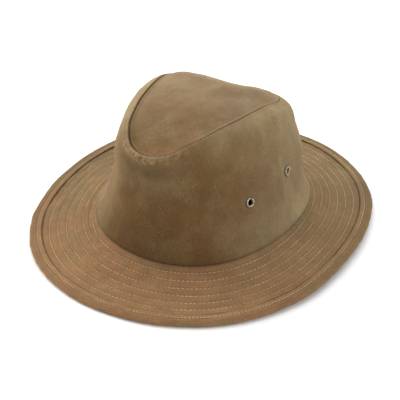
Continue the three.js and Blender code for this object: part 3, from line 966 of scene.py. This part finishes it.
def waxed_cotton(name, middle, near, far, fade):
    """Dry waxed cotton with a fine weave. Its brown fades from the one near a place to the one far
    from it, which paints light and shade, and the point values paint highlights and shade.
    """
    nodes = Nodes(name)
    place = nodes.add("ShaderNodeTexCoord").outputs["Object"]
    painted_light_and_tone = nodes.add("ShaderNodeAttribute", attribute_name="painted_light_and_tone").outputs["Fac"]
    clouds = nodes.noise(place, scale=19, detail=4)
    patches = nodes.noise(place, scale=62, detail=5, roughness=0.62)
    grain = nodes.noise(place, scale=460, detail=4, roughness=0.72)
    nap = nodes.noise(place, scale=1250, detail=3, roughness=0.7)
    dust = nodes.noise(place, scale=900, detail=2, roughness=0.6)
    dust_places = nodes.noise(place, scale=38, detail=3)

    # Painted light and shade: the brown near the middle fades into the one far from it.
    apart = nodes.add("ShaderNodeVectorMath", {0: place, 1: middle}, operation="DISTANCE")
    share = nodes.remap(apart.outputs["Value"], *fade, 0, 1)
    share = nodes.math("ADD", share, nodes.stretch(clouds, -0.2, 0.2))
    colour = nodes.blend(share, shade(near), shade(far))
    olive_places = nodes.remap(dust_places, 0.35, 0.65, 0, 1)
    tint = nodes.blend(olive_places, shade(PINKISH), shade(OLIVE))
    colour = nodes.blend(1.0, colour, tint, "MULTIPLY")
    colour = nodes.vary(colour, nodes.stretch(patches, 0.88, 1.1))
    colour = nodes.vary(colour, nodes.stretch(grain, 0.92, 1.08))
    colour = nodes.vary(colour, nodes.stretch(nap, 0.84, 1.16))
    dusty = nodes.remap(dust, 0.6, 0.7, 0, 0.5)
    dusty = nodes.math("MULTIPLY", dusty, nodes.remap(dust_places, 0.42, 0.62, 0, 1))
    colour = nodes.blend(dusty, colour, shade(DUST))
    # Painted highlights where the point values are above zero.
    colour = nodes.blend(nodes.remap(painted_light_and_tone, 0, 1, 0, 0.75), colour, shade(PAINTED_HIGHLIGHT))
    # Painted shade where they are below zero, and the darker back of the wall.
    painted_shade_and_tone = nodes.remap(nodes.math("MULTIPLY", painted_light_and_tone, -1.0), 0, 1, 0, 0.85)
    colour = nodes.blend(painted_shade_and_tone, colour, shade(PAINTED_SHADE_AND_TONE))
    nodes.link(colour, "Base Color")
    nodes.link(nodes.stretch(patches, 0.74, 0.9), "Roughness")

    cloth = nodes.add("ShaderNodeUVMap", uv_map="cloth").outputs["UV"]
    wave = {"Vector": cloth, "Scale": 2 * math.pi / (WAVE_TEXTURE_RATE * WEAVE_PITCH)}
    warp = nodes.add("ShaderNodeTexWave", wave, bands_direction="X")
    weft = nodes.add("ShaderNodeTexWave", wave, bands_direction="Y")
    weave = nodes.math("MULTIPLY", warp.outputs["Fac"], weft.outputs["Fac"])
    normal = nodes.bump(patches, strength=0.35, distance=0.0012)
    normal = nodes.bump(grain, strength=0.4, distance=0.0004, before=normal)
    normal = nodes.bump(weave, strength=0.25, distance=0.00008, before=normal)
    nodes.link(normal, "Normal")
    nodes.set(Sheen_Weight=0.12, Sheen_Roughness=0.5, Sheen_Tint=SHEEN_TINT)
    nodes.set(Specular_IOR_Level=0.08)
    return nodes.material


def sewing_thread(name, colour):
    """Matt twisted thread, a little lighter and darker along its length."""
    nodes = Nodes(name)
    place = nodes.add("ShaderNodeTexCoord").outputs["Object"]
    clouds = nodes.noise(place, scale=45, detail=3)
    share = nodes.remap(clouds, 0.35, 0.65, 0, 1)
    nodes.link(nodes.blend(share, shade(colour, 0.72), shade(colour, 1.2)), "Base Color")
    plies = nodes.noise(place, scale=3200, detail=1)
    nodes.link(nodes.bump(plies, strength=0.4, distance=0.0001), "Normal")
    nodes.link(nodes.stretch(clouds, 0.5, 0.65), "Roughness")
    nodes.set(Sheen_Weight=0.1, Sheen_Tint=SHEEN_TINT)
    return nodes.material


def worn_brass(name, colour):
    """Dull metal with darker tarnish."""
    nodes = Nodes(name)
    place = nodes.add("ShaderNodeTexCoord").outputs["Object"]
    tarnish = nodes.noise(place, scale=420, detail=4, roughness=0.65)
    share = nodes.remap(tarnish, 0.38, 0.66, 0, 1)
    nodes.link(nodes.blend(share, shade(colour, 1.25), shade(colour, 0.55)), "Base Color")
    nodes.link(nodes.remap(tarnish, 0.35, 0.7, 0.22, 0.42), "Roughness")
    nodes.link(nodes.bump(tarnish, strength=0.25, distance=0.0001), "Normal")
    nodes.set(Metallic=1.0)
    return nodes.material


def paint(piece, material):
    piece.data.materials.clear()
    piece.data.materials.append(material)


# ---------------------------------------------------------------- the hat

# Painted light and shade in the cloth's colour: a middle, the browns near it and far from it, and
# the distances in metres between which the one fades into the other. The crown and the tip are
# painted in shade near their fronts, and the brim in light at its front and in shade towards its
# back.
CROWN_PAINTED_SHADING = {
    "middle": (0.015, -0.095, 0.04),
    "near": (0.138, 0.077, 0.030),
    "far": (0.262, 0.194, 0.107),
    "fade": (0.02, 0.16),
}
TIP_PAINTED_SHADING = {
    "middle": (0.0, -0.1, 0.1),
    "near": (0.150, 0.084, 0.036),
    "far": (0.241, 0.177, 0.106),
    "fade": (0.0, 0.19),
}
BRIM_PAINTED_SHADING = {
    "middle": (0.03, -0.15, 0.01),
    "near": (0.256, 0.142, 0.069),
    "far": (0.174, 0.117, 0.059),
    "fade": (0.03, 0.28),
}

crown_cloth = waxed_cotton("crown_waxed_cotton", **CROWN_PAINTED_SHADING)
tip_cloth = waxed_cotton("tip_waxed_cotton", **TIP_PAINTED_SHADING)
brim_cloth = waxed_cotton("brim_waxed_cotton", **BRIM_PAINTED_SHADING)
binding_cloth = waxed_cotton("binding_waxed_cotton", **BRIM_PAINTED_SHADING)
tan_thread = sewing_thread("tan_thread", (0.47, 0.33, 0.17))
dark_thread = sewing_thread("dark_thread", (0.05, 0.03, 0.015))
brass = worn_brass("worn_brass", (0.38, 0.33, 0.24))

rings = wall_rings()
piece = loft_piece("crown_wall", rings, wall_painted_light_and_tone(rings), "crown_cloth", "crown_side")
drill_eyelet_holes(piece)
paint(piece, crown_cloth)

rings = tip_rings()
piece = loft_piece("crown_top", rings, tip_painted_light(rings), "tip_cloth", "crown_tip", capped=True)
paint(piece, tip_cloth)

rings = brim_rings()
piece = loft_piece("quilted_brim", rings, brim_painted_light(rings), "brim_cloth", "brim")
paint(piece, brim_cloth)

rings = binding_rings()
painted_light_and_tone = binding_painted_light(rings)
piece = loft_piece("rolled_binding", rings, painted_light_and_tone, "binding_cloth", "brim_binding")
paint(piece, binding_cloth)

for name, angle, up in EYELETS:
    paint(make_eyelet(name, angle, up), brass)

rows = range(len(ROW_SHARES))
top_runs = [brim_run(row, 1, seed=50 + row) for row in rows]
paint(stitch_piece("brim_top_stitches", top_runs, "brim_cloth"), tan_thread)
under_runs = [brim_run(row, -1, seed=60 + row) for row in rows]
paint(stitch_piece("brim_underside_stitches", under_runs, "brim_cloth"), tan_thread)
paint(stitch_piece("binding_stitches", [binding_run()], "binding_cloth"), tan_thread)
paint(stitch_piece("tip_seam_stitches", [tip_seam_run()], "crown_cloth"), dark_thread)


# ---------------------------------------------------------------- camera, light and floor

# Places and sizes are in metres.
CAMERA_PLACE = (0.3658, -0.7128, 0.5225)
CAMERA_TARGET = (-0.0041, -0.0021, 0.0121)
CAMERA_LENS = 98.3
LIGHT_TARGET = (0, 0, 0.05)
FLOOR_SIZE = 8
FLOOR_HEIGHT = -0.0003  # just below the hat
WORLD_STRENGTH = 0.62


def aim(thing, target):
    direction = Vector(target) - thing.location
    thing.rotation_euler = direction.to_track_quat("-Z", "Y").to_euler()


def add_camera():
    data = bpy.data.cameras.new("camera")
    data.lens = CAMERA_LENS
    camera = bpy.data.objects.new("camera", data)
    camera.location = CAMERA_PLACE
    bpy.context.scene.collection.objects.link(camera)
    aim(camera, CAMERA_TARGET)
    bpy.context.scene.camera = camera


def add_softbox(name, place, side, power, colour=(1, 1, 1)):
    data = bpy.data.lights.new(name, "AREA")
    data.shape = "SQUARE"
    data.size = side
    data.energy = power
    data.color = colour
    light = bpy.data.objects.new(name, data)
    light.location = place
    bpy.context.scene.collection.objects.link(light)
    aim(light, LIGHT_TARGET)


def add_floor():
    bpy.ops.mesh.primitive_plane_add(size=FLOOR_SIZE, location=(0, 0, FLOOR_HEIGHT))
    floor = bpy.context.object
    floor.name = "floor"
    nodes = Nodes("pale_floor")
    place = nodes.add("ShaderNodeTexCoord").outputs["Object"]
    tone = nodes.noise(place, scale=3, detail=2)
    nodes.link(nodes.blend(tone, (0.93, 0.93, 0.93, 1), (0.95, 0.95, 0.95, 1)), "Base Color")
    nodes.set(Roughness=0.9)
    floor.data.materials.append(nodes.material)


def add_world():
    world = bpy.data.worlds.new("studio")
    world.use_nodes = True
    background = world.node_tree.nodes["Background"]
    background.inputs["Color"].default_value = (1, 1, 1, 1)
    background.inputs["Strength"].default_value = WORLD_STRENGTH
    bpy.context.scene.world = world


add_camera()
add_floor()
add_world()
add_softbox("top_light", place=(-0.4, 0.8, 1.35), side=2.1, power=26)
add_softbox("left_light", place=(-1.5, 0.0, 0.65), side=0.8, power=18.5, colour=(1, 0.94, 0.83))
add_softbox("right_light", place=(1.4, -0.3, 0.8), side=0.9, power=6)
bpy.context.scene.view_settings.view_transform = "Standard"
